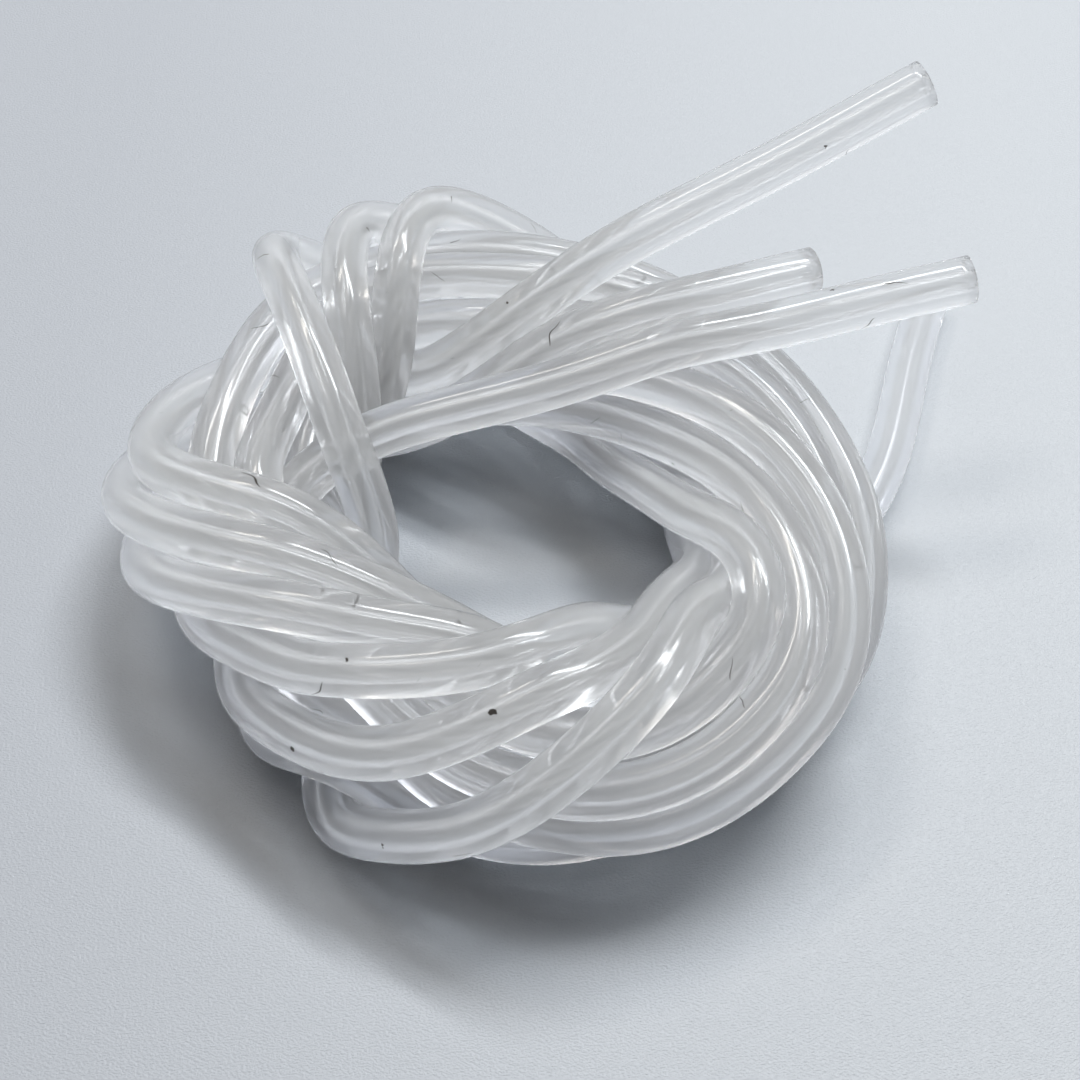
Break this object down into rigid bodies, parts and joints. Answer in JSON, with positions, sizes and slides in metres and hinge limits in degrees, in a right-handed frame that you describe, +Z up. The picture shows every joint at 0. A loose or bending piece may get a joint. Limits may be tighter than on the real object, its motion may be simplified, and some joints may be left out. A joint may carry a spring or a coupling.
{
  "type": "silicone tubing coil",
  "caption": "Soft clear silicone laboratory tubing wound side by side into a loose, twisted oval wreath, with cut ends that rise over it and ends that lie behind it.",
  "frame": {"origin": "bottom centre of the bounding box, on the floor under the coil", "axes": "+Z up, +X to the right, where the raised ends point, -Y to the front"},
  "size_m": [0.0578, 0.05, 0.0254],
  "materials": {
    "clear_silicone": "smooth, milky clear"
  },
  "bodies": {
    "root": {"tube_a": "clear_silicone", "tube_b": "clear_silicone", "tube_c": "clear_silicone"}
  },
  "joints": []
}
